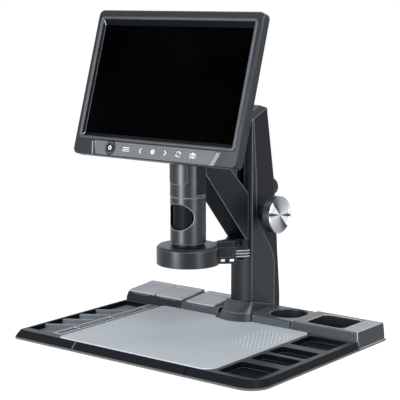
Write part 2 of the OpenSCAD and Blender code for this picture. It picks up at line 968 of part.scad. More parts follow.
module focus_rack() {
    pitch = PI * gear_module;
    below = ceil((travel_up + 8) / pitch);
    above = ceil((travel_down + 8) / pitch);
    z0 = shaft_z - (below + 0.5) * pitch;
    color("#8f959b")
        across(-5, 5) {
            rack_teeth(rack_back, z0 + pitch, below + above);
            translate([carriage_y1, z0])
                square([rack_back - carriage_y1 - 0.1, (below + above + 1) * pitch]);
        }
}

module pinion_gear() {
    root = pitch_r - 1.2 * gear_module;
    tip = pitch_r + 0.95 * gear_module;
    step = 360 / pinion_teeth;
    color("#b9924d")
        translate([0, shaft_y, shaft_z])
            rotate([90, 0, 90])
                translate([0, 0, -4])
                    linear_extrude(8)
                        difference() {
                            polygon([for (i = [0 : pinion_teeth - 1], k = [0 : 3])
                                let (a = 180 + i * step + [-0.27, -0.1, 0.1, 0.27][k] * step,
                                    r = k == 0 || k == 3 ? root : tip)
                                [r * cos(a), r * sin(a)]]);
                            circle(shaft_r);
                        }
}

module pinion_shaft() {
    color("#c9cdd1")
        rod_x(-left_knob_x - knob_t + 3, knob_x + knob_t - 3, shaft_y, shaft_z, shaft_r);
}

// Knob with a hub towards the column and a dished face, on the +X side, from face_x outwards
module focus_knob(face_x) {
    hub_x = half_w + 2;
    knob_r = knob_d / 2;
    color("#b9bcc0")
        translate([0, shaft_y, shaft_z])
            rotate([0, 90, 0])
                rotate_extrude($fn = 96)
                    polygon([
                        [shaft_r, hub_x], [9, hub_x], [9, face_x], [knob_r - 1.2, face_x],
                        [knob_r, face_x + 1.2], [knob_r, face_x + knob_t - 1.2],
                        [knob_r - 1.2, face_x + knob_t], [knob_r - 3, face_x + knob_t],
                        [knob_r - 4, face_x + knob_t - 0.8], [0, face_x + knob_t - 0.8],
                        [0, face_x + knob_t - 3], [shaft_r, face_x + knob_t - 3]
                    ]);
}

module focus_knob_right() {
    focus_knob(knob_x);
}

module focus_knob_left() {
    mirror([1, 0, 0])
        focus_knob(left_knob_x);
}

// Lock knob on the back of the column, on a threaded stem
module rear_lock_knob() {
    back = column_y + column_depth(lock_z);
    lock_end = column_y + column_foot_d - 0.2;
    ribs = 16;
    color("#26292c") {
        rod_y(back - shell_t - 3, back + 4, 0, lock_z, lock_stem_r);
        difference() {
            rod_y(back + 2, lock_end, 0, lock_z, lock_d / 2);
            for (i = [0 : ribs - 1])
                rod_y(back, lock_end + over, (lock_d / 2 + 1) * cos(i * 360 / ribs),
                    lock_z + (lock_d / 2 + 1) * sin(i * 360 / ribs), 1.4);
        }
    }
}

module carriage() {
    rest_w = half_w - shell_t - 0.5;
    color("#70757b")
        difference() {
            union() {
                block(-rest_w, rest_w, carriage_y0, carriage_y1, arm_foot_z - 5, arm_head_z - 2);
                block(-neck_w / 2, neck_w / 2, arm_back, carriage_y0 + over, neck_z0, neck_z1);
            }
            for (x = [-rail_x, rail_x])
                rod_z(arm_foot_z - 10, arm_head_z, x, rail_y, rail_r + running);
        }
}

// ---------- arm and camera head ----------

// Diagonal arm from the carriage up to the head
module arm_strut() {
    head_back = axis_y + head_r - 7;
    rise_z = head_seam + 27.3;
    top_z = head_top - 2;
    color("#3b3f44")
        difference() {
            across(-arm_w / 2, arm_w / 2)
                polygon([
                    [arm_back, arm_foot_z], [arm_back, arm_head_z], [arm_back - 1, arm_head_z + 2],
                    [arm_back - 6, arm_head_z + 7], [head_back + 6, top_z - 2], [head_back, top_z],
                    [head_back, rise_z + 1], [head_back + 3.5, rise_z - 4],
                    [arm_back - 5, arm_foot_z]
                ]);
            about_axis()
                rod_z(rise_z - 20, top_z + over, 0, 0, head_r + 0.05);
        }
}

// Finned block under the light arm, with chamfered corners
module ribbed_link() {
    fin_t = 1.3;
    fin_pitch = 3.6;
    first_fin = light_arm_z0 - 5.6;
    color("#54595f") {
        translate([0, 0, link_z0])
            linear_extrude(light_arm_z0 - link_z0)
                link_plan(2.2);
        for (i = [0 : 2])
            translate([0, 0, first_fin - fin_t - i * fin_pitch])
                linear_extrude(fin_t)
                    link_plan(0);
    }
}

module link_plan(inset) {
    w = half_w - inset;
    front = arm_back - link_d + inset;
    chamfer = 9.5;
    polygon([
        [-w, arm_back], [-w, front + chamfer], [-w + chamfer, front],
        [w - chamfer, front], [w, front + chamfer], [w, arm_back]
    ]);
}

// Flat bar that carries the ring light
module light_arm() {
    bar_w = 15;
    color("#2b2e32")
        difference() {
            translate([0, 0, light_arm_z0])
                linear_extrude(arm_foot_z - light_arm_z0) {
                    panel(-bar_w / 2, bar_w / 2, axis_y + ring_r - 4, arm_back, 1);
                    panel(-arm_w / 2, arm_w / 2, arm_back - 11, arm_back, 3);
                    panel(-arm_w / 2, arm_w / 2, arm_back - 4, arm_back, 0.5);
                }
            about_axis()
                rod_z(light_arm_z0 - over, arm_foot_z + over, 0, 0, ring_r + 0.05);
        }
}

module head_housing() {
    recess_half = 9;
    color("#2a2d31")
        about_axis()
            difference() {
                rod_z(head_seam + 0.2, head_top, 0, 0, head_r);
                rod_z(head_seam - over, head_top - 3, 0, 0, head_r - 2.5);
                for (side = [-1, 1])
                    slab_side(side, recess_half);
            }
}

// Shallow recess in the side of the head
module slab_side(side, half) {
    translate([side * head_r, 0, 0])
        block(-1.6, 1.6, -half, half, head_seam + 3, head_top - 6);
}

// Raised cover on the front of the head
module head_front_cover() {
    half = head_r * sin(38);
    color("#43474c")
        about_axis()
            intersection() {
                tube(head_r + 1.1, head_r, head_seam, head_top);
                along(-head_r - 2, 0)
                    panel(-half, half, head_seam + 16, head_top - 1.5, 5);
            }
}

// Sleeve with one long window cut straight through it, around the focus ring
module lower_sleeve() {
    color("#2a2d31")
        about_axis()
            difference() {
                tube(sleeve_r, sleeve_r - sleeve_t, sleeve_z, head_seam - 0.2);
                along(-sleeve_r - over, sleeve_r + over)
                    panel(-window_half, window_half, window_z0, window_z1, 14.5);
            }
}

// Lens tube with the dark neck that the ring light is clamped on
module lens_cell() {
    color("#1e2023")
        about_axis()
            difference() {
                union() {
                    rod_z(neck_low, sleeve_z - 0.2, 0, 0, neck_r);
                    rod_z(neck_low, head_seam + 2, 0, 0, lens_r);
                    rod_z(head_seam - 1, head_seam + 2, 0, 0, sleeve_r - sleeve_t);
                    rod_z(window_z0 - 5.5, window_z0 - 3 - running, 0, 0, lens_r + 4);
                }
                rod_z(neck_low - over, head_seam + 2 + over, 0, 0, lens_seat_r - 2);
                rod_z(neck_low - over, neck_low + lens_t, 0, 0, lens_seat_r);
            }
}

module focus_ring() {
    ring_out = sleeve_r - sleeve_t - 1;
    step = 360 / knurl_count;
    color("#3c3f43")
        about_axis()
            difference() {
                translate([0, 0, window_z0 - 3])
                    linear_extrude(window_z1 - window_z0 + 6)
                        polygon([for (i = [0 : knurl_count - 1], k = [0 : 3])
                            let (a = (i + [0, 0.3, 0.5, 0.8][k]) * step,
                                r = k < 2 ? ring_out : ring_out - 0.7)
                            [r * cos(a), r * sin(a)]]);
                rod_z(window_z0 - 4, window_z1 + 4, 0, 0, lens_r + running);
            }
}

module objective_lens() {
    color("#8fb0c8", 0.6)
        about_axis()
            translate([0, 0, neck_low])
                rotate_extrude()
                    polygon(concat(
                        [[0, lens_t], [lens_seat_r, lens_t]],
                        [for (i = [7 : -1 : 0]) [lens_seat_r * i / 7, 0.3 + 1.1 * i * i / 49]]
                    ));
}

module sensor_board() {
    board_z = head_seam + 2;
    color("#2f5d3a")
        about_axis() {
            block(-12.5, 12.5, -12.5, 12.5, board_z, board_z + 1.6);
            block(-5, 5, -5, 5, board_z + 1.6, board_z + 4);
            block(6, 11, -10, 10, board_z + 1.6, board_z + 7);
        }
}

// ---------- ring light ----------

module ring_light_housing() {
    edge = 2;
    color("#3a3d42")
        about_axis()
            difference() {
                rotate_extrude($fn = 128)
                    polygon([
                        [ring_bore, ring_z], [ring_r - 0.8, ring_z], [ring_r, ring_z + 0.8],
                        [ring_r, ring_top - edge - 1], [ring_r - 0.7, ring_top - edge],
                        [ring_r - edge, ring_top - 0.6], [ring_r - edge - 2, ring_top - 0.2],
                        [ring_bore, ring_top]
                    ]);
                tube(channel_r1, channel_r0, ring_z - over, ring_z + channel_h);
            }
}

module ring_diffuser() {
    color("#e8ecef")
        about_axis()
            tube(channel_r1 - 0.1, channel_r0 + 0.1, ring_z + 0.3, ring_z + 2.1);
}

module lamp_board() {
    board_t = 1.6;
    lamp_r = 1.7;
    orbit = (channel_r0 + channel_r1) / 2;
    color("#d9dcd8")
        about_axis() {
            tube(channel_r1 - 0.1, channel_r0 + 0.1, ring_z + channel_h - board_t,
                ring_z + channel_h);
            for (i = [0 : lamp_count - 1])
                rotate([0, 0, i * 360 / lamp_count])
                    rod_z(ring_z + channel_h - board_t - 1.4, ring_z + channel_h - board_t / 2,
                        orbit, 0, lamp_r);
        }
}

// Frame of the control box: x outward from the ring at 45 degrees, -y towards the user
module on_control() {
    about_axis()
        rotate([0, 0, 45])
            translate([control_x0, -control_w / 2, 0])
                children();
}

module light_control_box() {
    color("#3d4146")
        difference() {
            on_control()
                difference() {
                    union() {
                        slab(0, control_l, 0, control_w, control_z0, control_z0 + control_h, 1.5);
                        slab(1, control_l - 1, control_w / 2, control_w - 0.5,
                            control_z0 + control_h / 2, control_z0 + control_h + 5.3, 1.5);
                    }
                    block(3.4, 13.6, -over, 1, control_z0 + 8, control_z0 + 13.6);
                    block(14.4, 18.7, -over, 1.6, control_z0 + 8.4, control_z0 + 13.2);
                    for (x = key_xs)
                        block(x - key_l / 2 - 0.2, x + key_l / 2 + 0.2, -over, 3,
                            key_z - key_h / 2 - 0.2, key_z + key_h / 2 + 0.2);
                }
            about_axis()
                rod_z(ring_z - 2 * over, ring_top + control_h, 0, 0, ring_r + 0.05);
        }
}

module light_key(i) {
    x = key_xs[i];
    color("white")
        on_control()
            block(x - key_l / 2, x + key_l / 2, -1, 3 - key_travel - 0.1,
                key_z - key_h / 2, key_z + key_h / 2);
}

module light_up_key() {
    light_key(1);
}

module light_down_key() {
    light_key(0);
}

// ---------- screen ----------

// Fork on top of the head that holds the screen's hinge pin
module hinge_bracket() {
    plate_t = 3;
    color("#2a2d31")
        difference() {
            union() {
                about_axis()
                    rod_z(head_top, head_top + plate_t, 0, 0, head_r - 3);
                for (side = [0, 1])
                    mirror([side, 0, 0]) {
                        across(hinge_half + fit, hinge_half + fit + ear_t)
                            polygon([
                                [axis_y - head_r + 6, head_top],
                                [hinge_y - 5.5, hinge_z - 4],
                                [hinge_y + 1, hinge_z + hinge_knuckle_r],
                                [hinge_y + 6.5, hinge_z + 2],
                                [axis_y + 10, head_top + plate_t],
                                [axis_y + 10, head_top]
                            ]);
                        rod_x(hinge_half + fit, hinge_half + fit + ear_t, hinge_y, hinge_z,
                            hinge_knuckle_r + 0.5);
                    }
            }
            rod_x(-hinge_half - fit - ear_t - over, hinge_half + fit + ear_t + over,
                hinge_y, hinge_z, hinge_pin_r);
        }
}

module hinge_pin() {
    length = hinge_half + fit + ear_t + 1;
    color("#c9cdd1") {
        rod_x(-length, length, hinge_y, hinge_z, hinge_pin_r);
        rod_x(length - 0.5, length + 1.5, hinge_y, hinge_z, hinge_pin_r + 1.5);
        rod_x(-length - 1.5, 0.5 - length, hinge_y, hinge_z, hinge_pin_r + 1.5);
    }
}

// Outline of the housing in the plane of the display, drawn in x and z
module screen_outline(inset, r) {
    panel(-screen_w / 2 + inset, screen_w / 2 - inset, -screen_below + inset,
        screen_above - inset, r);
}

// Prism between depths y0 and y1 behind the face
module screen_layer(y0, y1, inset, r) {
    translate([0, y1, 0])
        rotate([90, 0, 0])
            linear_extrude(y1 - y0)
                screen_outline(inset, r, $fn = 32);
}

module chin(grow, y0, y1) {
    along(y0, y1)
        polygon([
            [-panel_half_top - grow, panel_top + grow], [panel_half_top + grow, panel_top + grow],
            [panel_half_bottom + grow, -screen_below - over - grow],
            [-panel_half_bottom - grow, -screen_below - over - grow]
        ]);
}

module screen_front_frame() {
    round_r = 7;
    color("#26282b")
        on_screen()
            difference() {
                union() {
                    hull() {
                        screen_layer(0, skin, 1.4, round_r - 1);
                        screen_layer(1.4, face_t, 0, round_r);
                    }
                    bead();
                }
                along(-bead_h - over, face_t + over)
                    panel(-open_x, open_x, open_bottom, open_top, 1.5);
                chin(0.5, -over, panel_t);
                rod_y(-over, face_t + over, power_x, power_z, power_r + 0.25);
            }
}

// Thin layer of the opening's outline, widened by grow, at depth y
module opening_layer(y, grow) {
    along(y, y + skin)
        panel(-open_x - grow, open_x + grow, open_bottom - grow, open_top + grow,
            1.5 + grow, $fn = 32);
}

// Bead that stands up around the opening, with sloping shoulders
module bead() {
    difference() {
        hull() {
            opening_layer(0.4, bead_w);
            opening_layer(-0.6, bead_w - 0.3);
            opening_layer(-bead_h, bead_w - 1.1);
        }
        hull() {
            opening_layer(-bead_h - skin, 1.1);
            opening_layer(-0.4, 0);
        }
    }
}

// Sloping inner frame between the housing and the display
module display_bezel() {
    rim = 0.9;
    color("#1a1b1d")
        on_screen()
            difference() {
                along(0.8, lcd_y)
                    panel(-open_x + fit, open_x - fit, open_bottom + fit, open_top - fit, 1.3);
                hull() {
                    along(0.3, 0.8)
                        panel(-open_x + rim, open_x - rim, open_bottom + rim, open_top - rim, 0.5);
                    along(lcd_y, lcd_y + 0.1)
                        display_window();
                }
            }
}

module display_window() {
    translate([-display_w / 2, -display_h / 2])
        square([display_w, display_h]);
}

module lcd_panel() {
    color("#0b0c0e")
        on_screen()
            along(lcd_y, lcd_y + 4)
                translate([-open_x + lcd_edge, open_bottom + lcd_edge])
                    square([2 * (open_x - lcd_edge), open_top - open_bottom - 2 * lcd_edge]);
}

module control_panel() {
    color("#6d7073")
        on_screen()
            difference() {
                intersection() {
                    chin(0, -0.2, panel_t);
                    screen_layer(-0.2, panel_t, 1.4, 6);
                }
                rod_y(-over, face_t, power_x, power_z, power_r + 0.25);
            }
}

module power_key() {
    color("#17181a")
        on_screen()
            rod_y(-1.1, face_t + 0.5, power_x, power_z, power_r);
}

module screen_rear_cover() {
    back = screen_side + screen_bulge;
    color("#2b2d30")
        difference() {
            union() {
                on_screen() {
                    screen_layer(face_t, screen_side, 0, 7);
                    hull() {
                        screen_layer(screen_side - skin, screen_side, 2, 7);
                        screen_layer(back - skin, back, 20, 12);
                    }
                    block(-hinge_half, hinge_half, back - over, hinge_back,
                        -hinge_drop - 5, -hinge_drop + 5);
                }
                rod_x(-hinge_half, hinge_half, hinge_y, hinge_z, hinge_knuckle_r);
            }
            on_screen() {
                screen_layer(face_t - over, screen_side, 2.4, 5);
                screen_layer(screen_side - over, back - 3, 24, 10);
                for (i = [-5 : 5])
                    block(i * 9 - 1.8, i * 9 + 1.8, back - 5, back + over, 30, 46);
                for (x = screen_screw_xs, z = screen_screw_zs)
                    rod_y(screen_side - over, back + over, x, z, screen_screw_r);
            }
            rod_x(-hinge_half - over, hinge_half + over, hinge_y, hinge_z,
                hinge_pin_r + running);
        }
}

module screen_screws() {
    back = screen_side + screen_bulge;
    color("silver")
        on_screen()
            for (x = screen_screw_xs, z = screen_screw_zs)
                rod_y(back - 4, back - 0.6, x, z, screen_screw_r);
}

module main_board() {
    board_y = lcd_y + 4;
    color("#2f5d3a")
        on_screen() {
            block(-70, 70, board_y, board_y + 1.6, -50, 25);
            block(-20, 8, board_y + 1.6, board_y + 3.4, -30, -5);
            block(30, 52, board_y + 1.6, board_y + 4.4, -20, 8);
        }
}

// ---------- assembly ----------

left_tray();
tray_dividers();
bit_rack();
centre_plate();
right_tray();
left_storage_box();
centre_storage_box();
right_storage_box();
box_inlay();
storage_lid_1();
storage_lid_2();
storage_lid_3();
lid_hinge_pins();
left_bottom_cover();
centre_bottom_cover();
right_bottom_cover();
rubber_feet();
cover_screws();
work_mat();
column_foot();
column_post();
column_front_shell();
column_rear_shell();
column_cap();
guide_rails();
shaft_bushes();
column_screws();
pinion_shaft();
pinion_gear();
focus_knob_right();
focus_knob_left();
rear_lock_knob();
carriage();
focus_rack();
arm_strut();
ribbed_link();
light_arm();
head_housing();
head_front_cover();
lower_sleeve();
lens_cell();
focus_ring();
objective_lens();
sensor_board();
ring_light_housing();
ring_diffuser();
lamp_board();
light_control_box();
light_up_key();
light_down_key();
hinge_bracket();
hinge_pin();
screen_front_frame();
display_bezel();
lcd_panel();
control_panel();
power_key();
screen_rear_cover();
main_board();
screen_screws();
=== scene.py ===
"""Looks of a digital microscope with a display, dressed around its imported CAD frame.

Places are in metres, and values given in millimetres are multiplied by MM.
"""

import json
import math

import bmesh
import bpy
from mathutils import Matrix, Vector


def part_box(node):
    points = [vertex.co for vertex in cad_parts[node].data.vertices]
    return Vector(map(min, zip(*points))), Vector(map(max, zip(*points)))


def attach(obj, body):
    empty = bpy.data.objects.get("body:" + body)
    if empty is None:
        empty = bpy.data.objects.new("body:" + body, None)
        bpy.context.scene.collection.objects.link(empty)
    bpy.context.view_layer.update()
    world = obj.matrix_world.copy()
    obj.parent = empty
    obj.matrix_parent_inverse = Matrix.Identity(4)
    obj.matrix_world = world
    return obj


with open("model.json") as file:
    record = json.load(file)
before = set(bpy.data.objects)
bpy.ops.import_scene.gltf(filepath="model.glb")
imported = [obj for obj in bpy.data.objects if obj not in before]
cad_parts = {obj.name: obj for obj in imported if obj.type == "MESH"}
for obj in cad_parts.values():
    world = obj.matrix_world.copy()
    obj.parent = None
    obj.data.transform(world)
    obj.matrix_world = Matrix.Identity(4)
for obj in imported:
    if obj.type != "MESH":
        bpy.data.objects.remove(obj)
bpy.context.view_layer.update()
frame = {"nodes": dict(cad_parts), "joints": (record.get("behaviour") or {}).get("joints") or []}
NODES = frame["nodes"]
JOINTS = {joint["name"]: joint for joint in frame["joints"]}
MM = 0.001


# ---------- camera ----------

CAMERA_AT = Vector((0.95270, -1.21981, 0.42092))
CAMERA_LOOK = Vector((-0.60930, 0.77688, -0.15878)).normalized()
CAMERA_ROLL = math.radians(-0.11)
FOCAL_PX = 1301.83
FRAME_PX = 400
SENSOR_MM = 36.0


def make_camera():
    right = CAMERA_LOOK.cross(Vector((0, 0, 1))).normalized()
    up = right.cross(CAMERA_LOOK)
    right_rolled = math.cos(CAMERA_ROLL) * right + math.sin(CAMERA_ROLL) * up
    up_rolled = math.cos(CAMERA_ROLL) * up - math.sin(CAMERA_ROLL) * right
    turn = Matrix((right_rolled, up_rolled, -CAMERA_LOOK)).transposed().to_4x4()
    data = bpy.data.cameras.new("camera")
    data.sensor_fit = "HORIZONTAL"
    data.sensor_width = SENSOR_MM
    data.lens = SENSOR_MM * FOCAL_PX / FRAME_PX
    data.clip_start = 0.05
    data.clip_end = 50
    camera = bpy.data.objects.new("camera", data)
    camera.matrix_world = Matrix.Translation(CAMERA_AT) @ turn
    bpy.context.scene.collection.objects.link(camera)
    bpy.context.scene.camera = camera


make_camera()
bpy.context.scene.view_settings.view_transform = "Standard"


# ---------- node helpers ----------


def linear(value):
    """One display channel, 0 to 255, as linear light."""
    value /= 255
    return value / 12.92 if value <= 0.04045 else ((value + 0.055) / 1.055) ** 2.4


def rgb(r, g, b):
    """A display colour, 0 to 255 a channel, as Blender's linear colour."""
    return (linear(r), linear(g), linear(b), 1.0)


def shade(color, factor):
    return tuple(min(1.0, c * factor) for c in color[:3]) + (1.0,)


def between(low, high):
    """The stops of a soft change from one colour to another."""
    return [(0.3, low), (0.7, high)]


def feed(socket, value):
    """Links another node's output to the socket, or sets the socket's own value."""
    if isinstance(value, bpy.types.NodeSocket):
        socket.id_data.links.new(value, socket)
    else:
        socket.default_value = value


class Tree:
    """Short calls for building the nodes of a material or a world."""

    def __init__(self, owner):
        owner.use_nodes = True
        self.nodes = owner.node_tree.nodes
        self.nodes.clear()

    def add(self, kind, inputs=None, **settings):
        """A new node, with its settings, and its inputs as a dict of socket to value or output."""
        node = self.nodes.new("ShaderNode" + kind)
        for name, value in settings.items():
            setattr(node, name, value)
        for socket, value in (inputs or {}).items():
            feed(node.inputs[socket], value)
        return node

    def math(self, operation, *values):
        """A Math node's output, from its values or outputs in order."""
        node = self.add("Math", dict(enumerate(values)), operation=operation)
        return node.outputs["Value"]


class Surface(Tree):
    """A material with one Principled shader; the calls return the output that they make."""

    def __init__(self, name):
        self.material = bpy.data.materials.new(name)
        super().__init__(self.material)
        self.shader = self.add("BsdfPrincipled")
        self.add("OutputMaterial", {"Surface": self.shader.outputs["BSDF"]})
        self.coords = self.add("TexCoord").outputs["Object"]

    def set(self, **values):
        """Sets the shader's inputs, each to a value or to a node's output."""
        for name, value in values.items():
            feed(self.shader.inputs[name.replace("_", " ")], value)

    def place(self):
        """The three parts of the point's place in metres, by their names X, Y and Z."""
        return self.add("SeparateXYZ", {"Vector": self.coords}).outputs

    def normal(self):
        return self.add("NewGeometry").outputs["Normal"]

    def facing(self):
        """The three parts of the surface's direction, by their names X, Y and Z."""
        return self.add("SeparateXYZ", {"Vector": self.normal()}).outputs

    def noise(self, scale, detail=2.0, stretch=None):
        vector = self.coords
        if stretch:
            vector = self.add("Mapping", {"Vector": vector, "Scale": stretch}).outputs["Vector"]
        node = self.add("TexNoise", {"Scale": scale, "Detail": detail, "Vector": vector})
        return node.outputs["Fac"]

    def ramp(self, value, stops):
        """Colours by value; stops are pairs of a position and a colour."""
        node = self.add("ValToRGB", {"Fac": value})
        elements = node.color_ramp.elements
        elements[0].position, elements[0].color = stops[0]
        elements[1].position, elements[1].color = stops[-1]
        for position, color in stops[1:-1]:
            elements.new(position).color = color
        return node.outputs["Color"]

    def mix(self, amount, a, b):
        """Colour a turning into colour b. Sockets 6 and 7 are the Mix node's pair of colours."""
        return self.add("Mix", {0: amount, 6: a, 7: b}, data_type="RGBA").outputs[2]

    def bevel(self, radius):
        return self.add("Bevel", {"Radius": radius}, samples=8).outputs["Normal"]

    def bump(self, height, distance, normal=None):
        inputs = {"Height": height, "Distance": distance}
        if normal:
            inputs["Normal"] = normal
        return self.add("Bump", inputs).outputs["Normal"]

    def top_sheen_mask(self, above):
        """1 on faces that look up and lie above a height, 0 elsewhere: where a painted sheen goes.
        """
        nearly_level = 0.9
        upward = self.math("GREATER_THAN", self.facing()["Z"], nearly_level)
        high = self.math("GREATER_THAN", self.place()["Z"], above)
        return self.math("MULTIPLY", upward, high)

    def glinting_edges(self, soft, edge_glint):
        """0 on flat faces, rising to edge_glint where the softened normal leaves the face's own:
        the mask of painted highlights along edges.
        """
        full_glint_cosine, flat_cosine = 0.84, 0.99
        dot = self.add("VectorMath", {0: soft, 1: self.normal()}, operation="DOT_PRODUCT")
        edges = self.ramp(dot.outputs["Value"],
                          [(full_glint_cosine, (1, 1, 1, 1)), (flat_cosine, (0, 0, 0, 1))])
        return self.math("MULTIPLY", edges, edge_glint)


COOL_GLOSS = (0.80, 0.92, 1.0, 1.0)
DRIFT_SCALE = 28
PATCH_SCALE = 90
ROUGH_SPREAD = 0.05


def moulded(name, color, rough=0.45, metal=0.0, spec=0.3, grain_mm=0.5, grain=0.02,
            mottle=0.1, edge_mm=0.5, edge_glint=0.0, edge=(150, 155, 160), top=None, sheen_from=0.0):
    """A moulded or painted surface: fine grain, faint colour drift, softened edges with painted
    highlights.

    The grain is grain_mm wide and grain mm deep. Edges look rounded by edge_mm, and edge_glint is
    the share of the light colour edge painted on them as a highlight. Faces that look up and lie
    above sheen_from mm take the lighter colour top as a painted sheen.
    """
    surface = Surface(name)
    drift = between(shade(color, 1 - mottle), shade(color, 1 + mottle))
    base = surface.ramp(surface.noise(DRIFT_SCALE, 3), drift)
    # painted sheen: faces that look up take the lighter colour top
    if top:
        base = surface.mix(surface.top_sheen_mask(sheen_from * MM), base, rgb(*top))
    soft = surface.bevel(edge_mm * MM) if edge_mm else None
    # painted highlight: edges turn towards the light colour edge, by the share edge_glint
    if edge_glint:
        base = surface.mix(surface.glinting_edges(soft, edge_glint), base, rgb(*edge))
    patches = surface.add("MapRange", {"Value": surface.noise(PATCH_SCALE, 2),
                                       "To Min": rough - ROUGH_SPREAD,
                                       "To Max": rough + ROUGH_SPREAD})
    bumps = surface.bump(surface.noise(1000 / grain_mm, 2), grain * MM, soft)
    surface.set(Base_Color=base, Roughness=patches.outputs["Result"], Normal=bumps,
                Metallic=metal, Specular_IOR_Level=spec)
    if metal < 0.5:
        surface.set(Specular_Tint=COOL_GLOSS)
    return surface.material


def dress(material, *names):
    for name in names:
        data = NODES[name].data
        data.materials.clear()
        data.materials.append(material)


# ---------- finishes ----------

# top colours on the tray and boxes are painted sheen on faces that look up; edge colours are
# painted highlights along edges
tray = moulded("tray_moulding", rgb(8, 11, 15), rough=0.36, spec=0.1, grain=0.03, edge_mm=1.0,
               edge_glint=0.25, top=(46, 51, 56), sheen_from=10.5)
# the three storage boxes are one plastic in lit and shaded copies: the left box's copy is darkened
# as painted shade
box_skin = moulded("box_moulding", rgb(26, 31, 35), rough=0.34, spec=0.32, grain=0.03,
                   edge_mm=2.0, edge_glint=0.9, top=(72, 77, 81), sheen_from=20, edge=(205, 209, 212))
shaded_box_skin = moulded("painted_shade_box_moulding", rgb(12, 14, 17), rough=0.36, spec=0.2, grain=0.03,
                        edge_mm=1.2, edge_glint=0.6)
middle_box_skin = moulded("middle_box_moulding", rgb(26, 30, 34), rough=0.34, spec=0.45,
                          grain=0.03, edge_mm=1.2, edge_glint=0.6, top=(56, 61, 65), sheen_from=20)
# the rack is near-black below its light top face, which paints shade into its slots
rack_skin = moulded("rack_moulding", rgb(18, 20, 23), rough=0.42, spec=0.2, grain=0.03,
                    edge_mm=0.3, top=(140, 146, 152), sheen_from=10)
divider_skin = moulded("divider_moulding", rgb(92, 97, 103), rough=0.45, spec=0.25, grain=0.03,
                       edge_mm=0.8, edge_glint=0.7)
lid_skin = moulded("lid_moulding", rgb(136, 141, 147), rough=0.42, spec=0.2, edge_mm=1.0,
                   edge_glint=0.6, edge=(205, 210, 214))
cover_skin = moulded("cover_moulding", rgb(84, 84, 82), rough=0.5, spec=0.2, grain=0.03,
                     edge_mm=0.3)
feet = moulded("foot_rubber", rgb(22, 22, 23), rough=0.85, spec=0.2, grain_mm=0.8, grain=0.05)
mat_skin = moulded("mat_silicone", rgb(158, 165, 170), rough=0.62, spec=0.2, grain_mm=0.35,
                   mottle=0.03, edge_mm=1.0, edge_glint=0.5, edge=(205, 212, 216))
dot_skin = moulded("mat_dots", rgb(184, 191, 195), rough=0.6, spec=0.2, grain_mm=0.35,
                   grain=0.01, mottle=0.03, edge_mm=0.2)

foot_skin = moulded("column_foot", rgb(8, 10, 12), rough=0.42, spec=0.8, edge_mm=1.5, edge_glint=0.3)
column_front = moulded("column_front", rgb(14, 16, 19), rough=0.42, spec=0.27, grain_mm=0.3,
                       grain=0.01, edge_mm=3.0, edge_glint=0.4)
column_rear = moulded("column_rear", rgb(12, 14, 17), rough=0.42, spec=0.14, grain_mm=0.3,
                      grain=0.012, edge_mm=1.6, edge_glint=0.2)
cap_skin = moulded("column_cap", rgb(30, 33, 37), rough=0.36, grain_mm=0.3, grain=0.01,
                   edge_mm=1.2, edge_glint=0.6)
strut_skin = moulded("arm_paint", rgb(14, 17, 20), rough=0.42, spec=0.15, grain_mm=0.3,
                     grain=0.012, edge_mm=2.2, edge_glint=1.0, edge=(120, 125, 130))
light_arm_skin = moulded("light_arm_paint", rgb(18, 20, 22), spec=0.15, edge_mm=0.8, edge_glint=0.3)

barrel = moulded("barrel_anodised", rgb(7, 9, 11), rough=0.38, spec=0.42, grain_mm=0.2,
                 grain=0.006, edge_mm=1.2, edge_glint=0.9)
barrel_front = moulded("barrel_cover", rgb(8, 10, 13), rough=0.38, spec=0.44, grain_mm=0.2,
                       grain=0.006, edge_mm=0.9, edge_glint=1.0)
insert_skin = moulded("barrel_insert", rgb(10, 12, 15), rough=0.5, spec=0.15, edge_mm=0.3)
neck = moulded("neck_anodised", rgb(8, 9, 11), rough=0.35, spec=0.2, edge_mm=0.4)
grip = moulded("grip_anodised", rgb(6, 8, 11), spec=0.1, edge_mm=0.2)
ring_skin = moulded("ring_light_moulding", rgb(5, 7, 9), rough=0.36, spec=0.36, grain_mm=0.25,
                    grain=0.008, edge_mm=0.9, edge_glint=0.9, edge=(190, 195, 200))
control_skin = moulded("light_control_moulding", rgb(24, 27, 31), spec=0.15, grain_mm=0.25,
                       grain=0.008, edge_glint=0.9, edge=(110, 115, 120))
milk = moulded("milky_diffuser", rgb(226, 228, 230), rough=0.5, spec=0.4)
lamp_skin = moulded("lamp_board", rgb(214, 216, 212), rough=0.5)
key_skin = moulded("white_key", rgb(208, 211, 213), rough=0.3, spec=0.4, edge_mm=0.3)

steel = moulded("bright_steel", rgb(165, 167, 170), rough=0.3, metal=1.0, grain_mm=0.2,
                grain=0.004)
# painted shade: the rails, post and rack in the column and the carriage are darkened to stand for
# the shade inside its slot
shade_dark_steel = moulded("painted_shade_steel", rgb(20, 22, 25), rough=0.4, spec=0.2, grain_mm=0.2,
                     grain=0.004)
shade_dark_aluminium = moulded("painted_shade_aluminium", rgb(30, 32, 35), rough=0.4, metal=0.2, spec=0.2)
brass = moulded("machined_brass", rgb(186, 152, 90), rough=0.32, metal=1.0)
board_skin = moulded("circuit_board", rgb(38, 92, 56), rough=0.5)
black = moulded("black_moulding", rgb(14, 16, 18), rough=0.42, spec=0.2, edge_mm=0.8, edge_glint=0.3,
                edge=(90, 94, 98))

